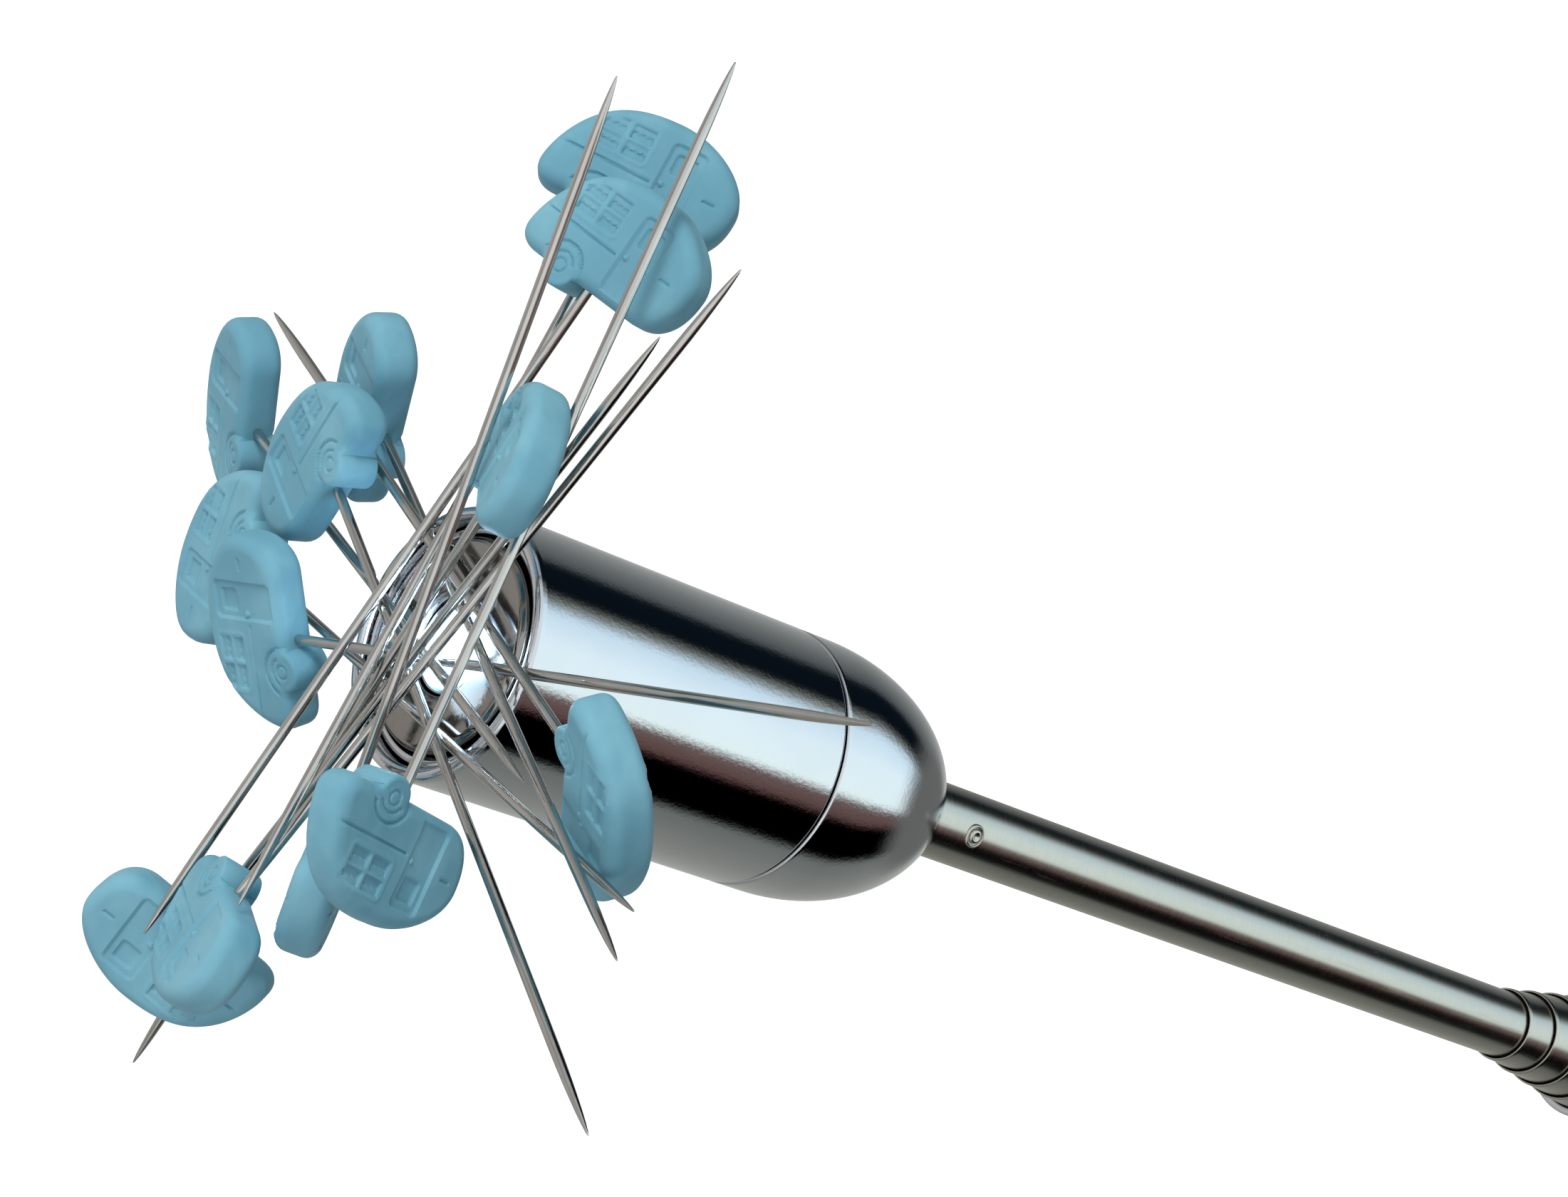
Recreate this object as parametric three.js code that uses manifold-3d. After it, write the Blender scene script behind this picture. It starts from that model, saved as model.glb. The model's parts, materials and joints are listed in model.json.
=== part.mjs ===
// Lighted magnetic pick-up tool that holds flat-head sewing pins.
// Units are millimetres, +Z is up.  The tool stands on its end cap with its head at the top,
// and the origin is the middle of the end cap's flat bottom face.

import * as THREE from 'three';
import * as BufferGeometryUtils from 'three/addons/utils/BufferGeometryUtils.js';
import Module from 'manifold-3d';

const wasm = await Module();
wasm.setup();

// ---------------------------------------------------------------------------
// Driving dimensions
// ---------------------------------------------------------------------------

const DEG = Math.PI / 180;
const FIT = 0.1;                 // sliding or push-fit clearance on a radius

// Telescopic stem
const STEM_RADIUS = 2.6;         // thinnest tube, the one the head is fixed to
const STAGE_STEP = 0.45;         // each tube is this much larger in radius than the one inside it
const TUBE_WALL = 0.25;
const STAGE_COUNT = 5;
const NECK_LENGTH = 3;           // swaged mouth of a tube
const NECK_INSET = 0.15;         // how far the mouth closes onto the tube inside it
const MOUTH_STEP = 3;            // a closed tube's mouth stands this far above the next one
const OUTER_TUBE_BASE = 3;
const OUTER_TUBE_LENGTH = 103;
const INNER_TUBE_LENGTH = 97;
const STEM_EXPOSED = 68.3;       // bare length of the thinnest tube below the head
const STEM_HIDDEN = 31.7;        // its length still inside the second tube
const SLEEVE_LENGTH = 7;         // split friction sleeve round a tube's inner end
const SLEEVE_GAP = 0.03;         // between the sleeve and the tubes on both sides of it

// Head
const HEAD_RADIUS = 8.5;
const HEAD_WALL = 0.9;
const BARREL_LENGTH = 26.1;
const CAP_SEAM = 0.2;            // dark line between barrel and cap
const CAP_STRAIGHT = 3.3;        // straight part of the cap before it rounds off
const CAP_DOME = 12.9;           // length of the rounded end
const STEM_SOCKET = 5;           // how far the stem enters the cap

// Magnet, lamp and power
const MAGNET_RADIUS = 6.7;
const MAGNET_BORE = 3.15;
const MAGNET_RECESS = 0.35;      // magnet face below the rim of the barrel
const MAGNET_THICK = 4.2;
const LAMP_RADIUS = 2.5;
const LAMP_LENGTH = 6.4;
const BOARD_DEPTH = 7.9;         // front of the lamp board below the rim
const BOARD_THICK = 1.2;
const CELL_RADIUS = 5.8;
const CELL_HEIGHT = 5.4;
const CELL_COUNT = 4;
const CELL_START = 10.6;         // first cell below the rim
const CELL_GAP = 0.05;

// End cap and pocket clip
const END_RADIUS = 5.3;
const END_HEIGHT = 9;
const CLIP_TOP = 104;

// Pins
const PIN_RADIUS = 0.33;
const PIN_LENGTH = 46.8;         // bare shank, from the camper's underside to the point
const PIN_POINT = 6.5;           // length of the taper
const PIN_ROOT = 4;              // shank inside the camper
const CAMPER_THICK = 2.8;
const WHEEL = { x: 1.8, y: 0.3, radius: 1.3 };

// How each pin lies on the magnet.  bearing is the compass direction of its camper seen from
// above the face, aside the shank's distance from the middle of the face (+ is to its left),
// reach the distance out to the camper, height and tilt how it rests on the pins below it, and
// roll the camper's turn about the shank.
const PINS = [
  { name: 'a', bearing: 6, aside: 0.6, reach: 27.4, height: 3.4, tilt: -12.8, roll: 45 },
  { name: 'b', bearing: 347, aside: 3.6, reach: 22.1, height: 3.1, tilt: -6, roll: 20 },
  { name: 'c', bearing: 333, aside: -1.1, reach: 11, height: 3.5, tilt: 8, roll: 335 },
  { name: 'd', bearing: 75, aside: 0.5, reach: 29.4, height: 1.7, tilt: -6.5, roll: 335 },
  { name: 'e', bearing: 63, aside: -2.9, reach: 16.2, height: 1, tilt: -3.9, roll: 335 },
  { name: 'f', bearing: 54.7, aside: 1.6, reach: 12.5, height: 2, tilt: 5.2, roll: 165.9 },
  { name: 'g', bearing: 80, aside: 4.2, reach: 19.9, height: 0.6, tilt: -0.5, roll: 170 },
  { name: 'h', bearing: 101, aside: 1.3, reach: 11.2, height: 1.1, tilt: 4.5, roll: 330 },
  { name: 'i', bearing: 248, aside: 3.8, reach: 17, height: 1.4, tilt: -1.5, roll: 35 },
  { name: 'j', bearing: 186, aside: 9.7, reach: 9.5, height: 5.5, tilt: 7.9, roll: 80 },
  { name: 'k', bearing: 173.1, aside: 5, reach: 12.2, height: 6, tilt: -7.3, roll: 38.9 },
  { name: 'l', bearing: 163, aside: 3.9, reach: 17.6, height: 3.4, tilt: 7.9, roll: 199 },
  { name: 'm', bearing: 154, aside: 1.8, reach: 22.6, height: 2.7, tilt: -1, roll: 315 },
];

// ---------------------------------------------------------------------------
// Heights worked out from the driving dimensions
// ---------------------------------------------------------------------------

const STAGE_MOUTH = OUTER_TUBE_BASE + OUTER_TUBE_LENGTH + MOUTH_STEP * (STAGE_COUNT - 2);
const CAP_LENGTH = CAP_STRAIGHT + CAP_DOME;
const STEM_TUCK = CAP_DOME * (1 - Math.sqrt(1 - (STEM_RADIUS / HEAD_RADIUS) ** 2));
const CAP_END = STAGE_MOUTH + STEM_EXPOSED - STEM_TUCK;
const CAP_TOP = CAP_END + CAP_LENGTH;
const FACE = CAP_TOP + CAP_SEAM + BARREL_LENGTH;
const STUD_TOP = CAP_END + 7.2;
const RIVET_HEIGHT = STAGE_MOUTH + STEM_EXPOSED - 3.4;

// ---------------------------------------------------------------------------
// Geometry helpers
// ---------------------------------------------------------------------------

function tidied(geometry) {
  const bare = geometry.index ? geometry : geometry.clone();
  bare.deleteAttribute('normal');
  bare.deleteAttribute('uv');
  return BufferGeometryUtils.mergeVertices(bare, 1e-4);
}

function toSolid(geometry) {
  const bare = tidied(geometry);
  const mesh = new wasm.Mesh({
    numProp: 3,
    vertProperties: new Float32Array(bare.attributes.position.array),
    triVerts: new Uint32Array(bare.index.array),
  });
  mesh.merge();
  return new wasm.Manifold(mesh);
}

function toGeometry(solid) {
  const mesh = solid.getMesh();
  const geometry = new THREE.BufferGeometry();
  geometry.setAttribute('position', new THREE.BufferAttribute(mesh.vertProperties, 3));
  geometry.setIndex(new THREE.BufferAttribute(mesh.triVerts, 1));
  return geometry;
}

function cut(body, ...tools) {
  return toGeometry(tools.reduce((left, tool) => left.subtract(toSolid(tool)), toSolid(body)));
}

function join(body, ...others) {
  return toGeometry(others.reduce((sum, other) => sum.add(toSolid(other)), toSolid(body)));
}

// A turned piece: profile is a list of [radius, height] that starts and ends on the axis,
// or ends where it starts, and runs anticlockwise with the axis on its left.
function turned(profile, sides) {
  const points = profile.map(([radius, height]) => new THREE.Vector2(radius, height));
  return new THREE.LatheGeometry(points, sides).rotateX(Math.PI / 2);
}

function ring(innerRadius, outerRadius, bottom, top, sides) {
  return turned([
    [innerRadius, bottom], [outerRadius, bottom], [outerRadius, top], [innerRadius, top],
    [innerRadius, bottom],
  ], sides);
}

function disc(radius, bottom, top, sides) {
  return turned([[0, bottom], [radius, bottom], [radius, top], [0, top]], sides);
}

// A round bar along Y, centred on the Z axis at the given height.
function crossBar(radius, length, height, sides) {
  return new THREE.CylinderGeometry(radius, radius, length, sides).translate(0, 0, height);
}

// A quarter of an ellipse as [radius, height] points, from the full radius to the axis end.
function quarterEllipse(radius, length, middle, steps, fromAngle, toAngle) {
  const points = [];
  for (let step = 0; step <= steps; step += 1) {
    const angle = fromAngle + (toAngle - fromAngle) * step / steps;
    points.push([radius * Math.cos(angle), middle + length * Math.sin(angle)]);
  }
  return points;
}

const chrome = { color: 0xc9ccd2, roughness: 0.08, metalness: 1 };
const stainless = { color: 0xb9b6ae, roughness: 0.22, metalness: 1 };
const nickel = { color: 0x8d8782, roughness: 0.18, metalness: 1 };
const pinSteel = { color: 0xa09a92, roughness: 0.25, metalness: 1 };
const brass = { color: 0xc8a860, roughness: 0.35, metalness: 1 };
const bluePlastic = { color: 0x79b4cc, roughness: 0.45, metalness: 0 };
const clearResin = { color: 0xe6f4ff, roughness: 0.05, metalness: 0 };
const greenBoard = { color: 0x2f6b45, roughness: 0.6, metalness: 0 };
const blackRubber = { color: 0x151515, roughness: 0.8, metalness: 0 };
const whiteCard = { color: 0xe8e6df, roughness: 0.8, metalness: 0 };

const tool = new THREE.Group();

function add(parent, name, geometry, finish) {
  const mesh = new THREE.Mesh(geometry, new THREE.MeshStandardMaterial(finish));
  mesh.name = name;
  parent.add(mesh);
  return mesh;
}

// ---------------------------------------------------------------------------
// Handle: outer tube, end cap and pocket clip
// ---------------------------------------------------------------------------

// Outer radius of a stage, 1 for the thinnest tube and 5 for the outermost.
function stageRadius(stage) {
  return STEM_RADIUS + STAGE_STEP * (stage - 1);
}

function boreRadius(stage) {
  return stageRadius(stage) - TUBE_WALL;
}

// The upper end of a tube is swaged in so that it closes onto the tube inside it.
function swagedMouth(stage, top) {
  const outer = stageRadius(stage);
  const bore = boreRadius(stage);
  return [
    [outer, top - NECK_LENGTH],
    [outer - NECK_INSET * 0.8, top - NECK_LENGTH * 0.45],
    [outer - NECK_INSET, top - 0.2],
    [outer - NECK_INSET - 0.08, top],
    [bore - NECK_INSET + 0.08, top],
    [bore - NECK_INSET * 0.7, top - 0.4],
    [bore, top - NECK_LENGTH],
  ];
}

function outerTube() {
  const bore = boreRadius(STAGE_COUNT);
  const base = OUTER_TUBE_BASE;
  return turned([
    [bore, base], [stageRadius(STAGE_COUNT), base],
    ...swagedMouth(STAGE_COUNT, base + OUTER_TUBE_LENGTH),
    [bore, base],
  ], 32);
}

function endCap() {
  const wall = stageRadius(STAGE_COUNT) + FIT;
  const plug = boreRadius(STAGE_COUNT) - FIT;
  return turned([
    [0, 0], [END_RADIUS - 1, 0], [END_RADIUS - 0.3, 0.3], [END_RADIUS, 1],
    [END_RADIUS, END_HEIGHT - 0.6], [END_RADIUS - 0.4, END_HEIGHT], [wall, END_HEIGHT],
    [wall, OUTER_TUBE_BASE - 0.3], [plug, OUTER_TUBE_BASE - 0.3],
    [plug, END_HEIGHT - 2], [0, END_HEIGHT - 2],
  ], 32);
}

// The clip is a ring round the tube with a spring arm, side view first: [radius, height].
function pocketClip() {
  const bandInner = stageRadius(STAGE_COUNT) + FIT;
  const bandOuter = bandInner + 0.6;
  const reach = bandOuter + 2.4;
  const metal = 0.6;
  const width = 5;
  const side = new THREE.Shape();
  side.moveTo(bandOuter - 0.3, CLIP_TOP - 3.4);
  side.lineTo(bandOuter - 0.3, CLIP_TOP - 1.4);
  side.quadraticCurveTo(bandOuter + 0.4, CLIP_TOP, reach - 0.6, CLIP_TOP);
  side.quadraticCurveTo(reach + metal, CLIP_TOP, reach + metal, CLIP_TOP - 2.4);
  side.lineTo(bandOuter + 1.1, CLIP_TOP - 46);
  side.quadraticCurveTo(bandOuter + 0.9, CLIP_TOP - 47.6, bandOuter + 2.6, CLIP_TOP - 50);
  side.lineTo(bandOuter + 2.1, CLIP_TOP - 50.4);
  side.quadraticCurveTo(bandOuter + 0.2, CLIP_TOP - 48, bandOuter + 0.5, CLIP_TOP - 46);
  side.lineTo(reach, CLIP_TOP - 2.4);
  side.quadraticCurveTo(reach, CLIP_TOP - metal, reach - 0.8, CLIP_TOP - metal);
  side.quadraticCurveTo(bandOuter + 0.9, CLIP_TOP - metal, bandOuter + 0.5, CLIP_TOP - 3.4);
  const arm = new THREE.ExtrudeGeometry(side, { depth: width, bevelEnabled: false, curveSegments: 5 })
    .translate(0, 0, -width / 2)
    .rotateX(Math.PI / 2)
    .rotateZ(Math.PI / 2);
  const band = ring(bandInner, bandOuter, CLIP_TOP - 9, CLIP_TOP - 1, 32);
  const bore = disc(bandInner, CLIP_TOP - 12, CLIP_TOP + 2, 32);
  return cut(join(band, arm), bore);
}

add(tool, 'outer_tube', outerTube(), stainless);
add(tool, 'end_cap', endCap(), chrome);
add(tool, 'pocket_clip', pocketClip(), chrome);

// ---------------------------------------------------------------------------
// Sliding tubes and their friction sleeves
// ---------------------------------------------------------------------------

function stageTop(stage) {
  return STAGE_MOUTH - MOUTH_STEP * (stage - 2);
}

function slidingTube(stage) {
  const top = stageTop(stage);
  const bottom = top - INNER_TUBE_LENGTH;
  return turned([
    [boreRadius(stage), bottom], [stageRadius(stage), bottom],
    ...swagedMouth(stage, top), [boreRadius(stage), bottom],
  ], 32);
}

// The thinnest tube runs plain up into the head and is drilled across for the rivet.
function stemTube() {
  const bottom = STAGE_MOUTH - STEM_HIDDEN;
  const top = STAGE_MOUTH + STEM_EXPOSED + STEM_SOCKET;
  return cut(ring(boreRadius(1), STEM_RADIUS, bottom, top, 32), crossBar(0.75, STEM_RADIUS * 3, RIVET_HEIGHT, 16));
}

// A sleeve is a split ring, extruded from its C-shaped end view.
function frictionSleeve(stage, bottom) {
  const outer = boreRadius(stage + 1) - SLEEVE_GAP;
  const inner = stageRadius(stage) + SLEEVE_GAP;
  const slit = 12 * DEG;
  const view = new THREE.Shape();
  view.absarc(0, 0, outer, slit, 2 * Math.PI - slit, false);
  view.absarc(0, 0, inner, 2 * Math.PI - slit, slit, true);
  return new THREE.ExtrudeGeometry(view, { depth: SLEEVE_LENGTH, bevelEnabled: false, curveSegments: 16 })
    .translate(0, 0, bottom + 0.5);
}

for (let stage = STAGE_COUNT - 1; stage >= 2; stage -= 1) {
  add(tool, `tube_${stage}`, slidingTube(stage), stainless);
  const bottom = stageTop(stage) - INNER_TUBE_LENGTH;
  add(tool, `friction_sleeve_${stage}`, frictionSleeve(stage, bottom), brass);
}
add(tool, 'tube_1', stemTube(), stainless);
add(tool, 'friction_sleeve_1', frictionSleeve(1, STAGE_MOUTH - STEM_HIDDEN), brass);

// ---------------------------------------------------------------------------
// Battery cap and what is fixed in it
// ---------------------------------------------------------------------------

// A shouldered screw passes down through the cap into the stem, where the rivet holds it.
function headStud() {
  const shank = boreRadius(1) - FIT;
  const stud = turned([
    [0, RIVET_HEIGHT - 3], [shank - 0.4, RIVET_HEIGHT - 3], [shank, RIVET_HEIGHT - 2.6],
    [shank, STUD_TOP - 1.1], [3.9, STUD_TOP - 1.1], [3.9, STUD_TOP], [0, STUD_TOP],
  ], 24);
  return cut(stud, crossBar(0.75, STEM_RADIUS * 3, RIVET_HEIGHT, 16));
}

function studRivet() {
  const half = STEM_RADIUS + 0.12;
  return turned([
    [0, -half - 0.1], [0.35, -half - 0.05], [0.65, -half + 0.1],
    [0.65, half - 0.1], [0.35, half + 0.05], [0, half + 0.1],
  ], 16)
    .rotateX(Math.PI / 2)
    .translate(0, 0, RIVET_HEIGHT);
}

// The cap is a round-nosed shell with a neck that screws up into the barrel.
function rearCap() {
  const middle = CAP_END + CAP_DOME;
  const bore = STEM_RADIUS + FIT;
  const neck = HEAD_RADIUS - HEAD_WALL - 0.25;
  const floor = STUD_TOP - 1.1 - FIT;
  const inner = neck - 0.75;
  const rim = Math.acos(bore / HEAD_RADIUS);
  return turned([
    ...quarterEllipse(HEAD_RADIUS, CAP_DOME, middle, 14, -rim, 0),
    [HEAD_RADIUS, CAP_TOP - 0.15], [HEAD_RADIUS - 0.15, CAP_TOP], [neck, CAP_TOP],
    [neck, CAP_TOP + 1.9], [neck - 0.35, CAP_TOP + 1.9], [neck - 0.35, CAP_TOP + 2.7],
    [neck, CAP_TOP + 2.7], [neck, CAP_TOP + 5], [inner, CAP_TOP + 5],
    [inner, middle - 3.2], [inner - 1.6, floor + 1.2], [4.2, floor], [bore, floor],
    [bore, CAP_END + CAP_DOME * (1 - Math.sin(rim))],
  ], 40);
}

// The seal fills the groove in the cap's neck.
function capSeal() {
  const middle = HEAD_RADIUS - HEAD_WALL - 0.35;
  return new THREE.TorusGeometry(middle, 0.22, 8, 40).translate(0, 0, CAP_TOP + 2.3);
}

class ConicalCoil extends THREE.Curve {
  constructor(bottomRadius, topRadius, bottom, top, turns) {
    super();
    Object.assign(this, { bottomRadius, topRadius, bottom, top, turns });
  }

  getPoint(t, target = new THREE.Vector3()) {
    const radius = this.bottomRadius + (this.topRadius - this.bottomRadius) * t;
    const angle = 2 * Math.PI * this.turns * t;
    const height = this.bottom + (this.top - this.bottom) * t;
    return target.set(radius * Math.cos(angle), radius * Math.sin(angle), height);
  }
}

function cellSpring() {
  const wire = 0.25;
  const view = new THREE.Shape();
  view.absarc(0, 0, wire, 0, 2 * Math.PI, false);
  const bottom = STUD_TOP + wire + FIT;
  const top = cellTop(CELL_COUNT - 1) - CELL_HEIGHT - wire - FIT;
  return new THREE.ExtrudeGeometry(view, {
    steps: 54,
    curveSegments: 4,
    bevelEnabled: false,
    extrudePath: new ConicalCoil(3.4, 1.8, bottom, top, 3),
  });
}

// Cells are numbered from the lamp down.
function cellTop(index) {
  return FACE - CELL_START - index * (CELL_HEIGHT + CELL_GAP);
}

function buttonCell(index) {
  const top = cellTop(index);
  const bottom = top - CELL_HEIGHT;
  return turned([
    [0, bottom], [CELL_RADIUS - 0.9, bottom], [CELL_RADIUS - 0.7, bottom + 0.5],
    [CELL_RADIUS - 0.15, bottom + 0.7], [CELL_RADIUS, bottom + 1.1],
    [CELL_RADIUS, top - 0.3], [CELL_RADIUS - 0.3, top], [0, top],
  ], 28);
}

function cellSleeve() {
  const bottom = cellTop(CELL_COUNT - 1) - CELL_HEIGHT;
  return ring(CELL_RADIUS + FIT, CELL_RADIUS + 0.45, bottom, cellTop(0) + 0.3, 28);
}

add(tool, 'head_stud', headStud(), nickel);
add(tool, 'stud_rivet', studRivet(), stainless);
add(tool, 'rear_cap', rearCap(), chrome);
add(tool, 'cap_seal', capSeal(), blackRubber);
add(tool, 'cell_spring', cellSpring(), pinSteel);
for (let index = 0; index < CELL_COUNT; index += 1) {
  add(tool, `button_cell_${index + 1}`, buttonCell(index), stainless);
}
add(tool, 'cell_sleeve', cellSleeve(), whiteCard);

// ---------------------------------------------------------------------------
// Head barrel, magnet and lamp
// ---------------------------------------------------------------------------

function headBarrel() {
  const bottom = FACE - BARREL_LENGTH;
  const inner = HEAD_RADIUS - HEAD_WALL;
  return turned([
    [inner, bottom], [HEAD_RADIUS - 0.15, bottom], [HEAD_RADIUS, bottom + 0.15],
    [HEAD_RADIUS, FACE - 0.5], [HEAD_RADIUS - 0.12, FACE - 0.15], [HEAD_RADIUS - 0.4, FACE],
    [inner + 0.25, FACE], [inner, FACE - 0.3], [inner, bottom],
  ], 48);
}

// A plated steel cup carries the ring magnet and shows as a ring sunk inside the rim.
function magnetCup() {
  const outer = HEAD_RADIUS - HEAD_WALL - FIT;
  const inner = MAGNET_RADIUS + 0.2;
  const top = FACE - 0.9;
  const back = FACE - MAGNET_RECESS - MAGNET_THICK;
  return turned([
    [MAGNET_BORE, back - 1], [outer, back - 1], [outer, top - 0.1], [outer - 0.1, top],
    [inner + 0.1, top], [inner, top - 0.1], [inner, back - FIT], [MAGNET_BORE, back - FIT],
    [MAGNET_BORE, back - 1],
  ], 48);
}

function ringMagnet() {
  const top = FACE - MAGNET_RECESS;
  const bottom = top - MAGNET_THICK;
  const bevel = 0.35;
  return turned([
    [MAGNET_BORE, bottom], [MAGNET_RADIUS, bottom], [MAGNET_RADIUS, top - bevel],
    [MAGNET_RADIUS - bevel, top], [MAGNET_BORE + bevel, top], [MAGNET_BORE, top - bevel],
    [MAGNET_BORE, bottom],
  ], 48);
}

function lampBezel() {
  const top = FACE - MAGNET_RECESS - 0.5;
  return turned([
    [LAMP_RADIUS + FIT, FACE - 6.2], [MAGNET_BORE - FIT, FACE - 6.2], [MAGNET_BORE - FIT, top],
    [MAGNET_BORE - 0.3, top], [LAMP_RADIUS + FIT, top - 1.2], [LAMP_RADIUS + FIT, FACE - 6.2],
  ], 32);
}

function lampLens() {
  const bottom = FACE - MAGNET_RECESS - LAMP_LENGTH;
  const middle = FACE - MAGNET_RECESS - LAMP_RADIUS;
  return turned([
    [0, bottom], [LAMP_RADIUS + 0.4, bottom], [LAMP_RADIUS + 0.4, bottom + 0.4],
    [LAMP_RADIUS, bottom + 0.4],
    ...quarterEllipse(LAMP_RADIUS, LAMP_RADIUS, middle, 8, 0, Math.PI / 2),
  ], 32);
}

function lampLead(side) {
  const top = FACE - MAGNET_RECESS - LAMP_LENGTH - 0.05;
  const bottom = FACE - BOARD_DEPTH - BOARD_THICK - 0.5;
  return new THREE.BoxGeometry(0.5, 0.5, top - bottom).translate(side * 1.27, 0, (top + bottom) / 2);
}

function lampBoard() {
  const board = disc(7.3, FACE - BOARD_DEPTH - BOARD_THICK, FACE - BOARD_DEPTH, 32);
  const holes = [-1, 1].map((side) => disc(0.55, FACE - 12, FACE - 5, 8).translate(side * 1.27, 0, 0));
  return cut(board, ...holes);
}

// A sprung brass button on the back of the board meets the first cell.
function boardContact() {
  const top = FACE - BOARD_DEPTH - BOARD_THICK - FIT;
  const bottom = cellTop(0) + FIT;
  return ring(2.1, 3.1, bottom, top, 24);
}

add(tool, 'head_barrel', headBarrel(), chrome);
add(tool, 'magnet_cup', magnetCup(), chrome);
add(tool, 'ring_magnet', ringMagnet(), nickel);
add(tool, 'lamp_bezel', lampBezel(), chrome);
add(tool, 'lamp_lens', lampLens(), clearResin);
add(tool, 'lamp_lead_plus', lampLead(1), pinSteel);
add(tool, 'lamp_lead_minus', lampLead(-1), pinSteel);
add(tool, 'lamp_board', lampBoard(), greenBoard);
add(tool, 'board_contact', boardContact(), brass);

// ---------------------------------------------------------------------------
// Flat-head pins shaped as camper trailers
// ---------------------------------------------------------------------------

// In a pin's own frame the shank lies along -Y and the camper stands on +Y, nose towards +X.
function camperOutline() {
  const lobe = Math.asin(WHEEL.y / WHEEL.radius);
  const outline = new THREE.Shape();
  outline.moveTo(-3.9, 0);
  outline.absarc(WHEEL.x, WHEEL.y, WHEEL.radius, Math.PI + lobe, 2 * Math.PI - lobe, false);
  outline.lineTo(4.1, 0);
  outline.bezierCurveTo(5.2, 0, 5.75, 0.6, 5.65, 1.5);
  outline.bezierCurveTo(5.55, 2.6, 4.9, 4.4, 3.6, 5.6);
  outline.bezierCurveTo(2.3, 6.8, 0.6, 7.1, -1.2, 7.1);
  outline.bezierCurveTo(-3.6, 7.1, -6.5, 5.4, -6.5, 3.4);
  outline.bezierCurveTo(-6.5, 1.4, -5.5, 0, -3.9, 0);
  return outline;
}

function camperHead() {
  const body = new THREE.ExtrudeGeometry(camperOutline(), {
    depth: CAMPER_THICK,
    bevelEnabled: false,
    curveSegments: 6,
  }).translate(0, 0, -CAMPER_THICK / 2);
  const socket = new THREE.CylinderGeometry(PIN_RADIUS + FIT, PIN_RADIUS + FIT, PIN_ROOT + 1.2, 8)
    .translate(0, (PIN_ROOT + 1.2) / 2 - 1, 0);
  return cut(body, socket);
}

function pinShank() {
  const points = [
    [0, -PIN_LENGTH], [0.05, -PIN_LENGTH + 0.1], [PIN_RADIUS * 0.72, -PIN_LENGTH + PIN_POINT * 0.5],
    [PIN_RADIUS, -PIN_LENGTH + PIN_POINT], [PIN_RADIUS, PIN_ROOT], [0, PIN_ROOT],
  ].map(([radius, height]) => new THREE.Vector2(radius, height));
  return new THREE.LatheGeometry(points, 8);
}

// Puts a pin's frame where its row in PINS says.
function placed(pin) {
  const bearing = pin.bearing * DEG;
  const tilt = pin.tilt * DEG;
  const roll = pin.roll * DEG;
  const flat = new THREE.Vector3(Math.cos(bearing), Math.sin(bearing), 0);
  const left = new THREE.Vector3(-flat.y, flat.x, 0);
  const along = flat.clone().multiplyScalar(Math.cos(tilt));
  along.z = Math.sin(tilt);
  const above = new THREE.Vector3().crossVectors(along, left);
  const nose = left.clone().multiplyScalar(Math.cos(roll)).addScaledVector(above, Math.sin(roll));
  const group = new THREE.Group();
  const axes = new THREE.Matrix4().makeBasis(nose, along, nose.clone().cross(along));
  group.quaternion.setFromRotationMatrix(axes);
  group.position.set(0, 0, FACE + pin.height)
    .addScaledVector(left, pin.aside)
    .addScaledVector(along, pin.reach / Math.cos(tilt));
  return group;
}

const shank = pinShank();
const camper = camperHead();
for (const pin of PINS) {
  const group = placed(pin);
  add(group, `pin_shank_${pin.name}`, shank, pinSteel);
  add(group, `camper_${pin.name}`, camper, bluePlastic);
  tool.add(group);
}

export default tool;
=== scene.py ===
"""A lighted telescopic pick-up magnet that holds flat-head sewing pins with camper-shaped grips.

The tool stands on its end cap with the magnet at the top.  Lengths in the tables are millimetres.
"""

import json
import math

import bpy
import numpy as np
from mathutils import Matrix, Vector, geometry


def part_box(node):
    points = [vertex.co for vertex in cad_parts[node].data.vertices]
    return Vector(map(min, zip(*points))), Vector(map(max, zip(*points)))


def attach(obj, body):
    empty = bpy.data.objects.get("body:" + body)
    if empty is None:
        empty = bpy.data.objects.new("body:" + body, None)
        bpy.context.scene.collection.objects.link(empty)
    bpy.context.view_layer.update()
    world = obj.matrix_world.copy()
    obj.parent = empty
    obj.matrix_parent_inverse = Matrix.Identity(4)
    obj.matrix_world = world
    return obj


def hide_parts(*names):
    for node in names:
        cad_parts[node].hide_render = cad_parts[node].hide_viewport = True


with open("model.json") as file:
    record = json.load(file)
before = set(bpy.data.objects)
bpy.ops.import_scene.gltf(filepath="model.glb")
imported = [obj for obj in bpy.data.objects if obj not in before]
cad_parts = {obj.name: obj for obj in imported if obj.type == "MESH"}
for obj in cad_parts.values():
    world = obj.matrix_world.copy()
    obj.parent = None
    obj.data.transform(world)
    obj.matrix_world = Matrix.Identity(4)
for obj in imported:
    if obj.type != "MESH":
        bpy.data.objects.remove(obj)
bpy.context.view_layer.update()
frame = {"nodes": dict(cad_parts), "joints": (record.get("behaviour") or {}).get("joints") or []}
NODES = frame["nodes"]
MM = 0.001

# ---------------------------------------------------------------------------
# Sizes that the detailed pieces share, read off the frame where it gives them
# ---------------------------------------------------------------------------


def low(node):
    """Height of a node's lowest point."""
    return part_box(node)[0].z / MM


def high(node):
    """Height of a node's highest point."""
    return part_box(node)[1].z / MM


def radius(node):
    """Outer radius of a turned node."""
    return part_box(node)[1].x / MM


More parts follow.
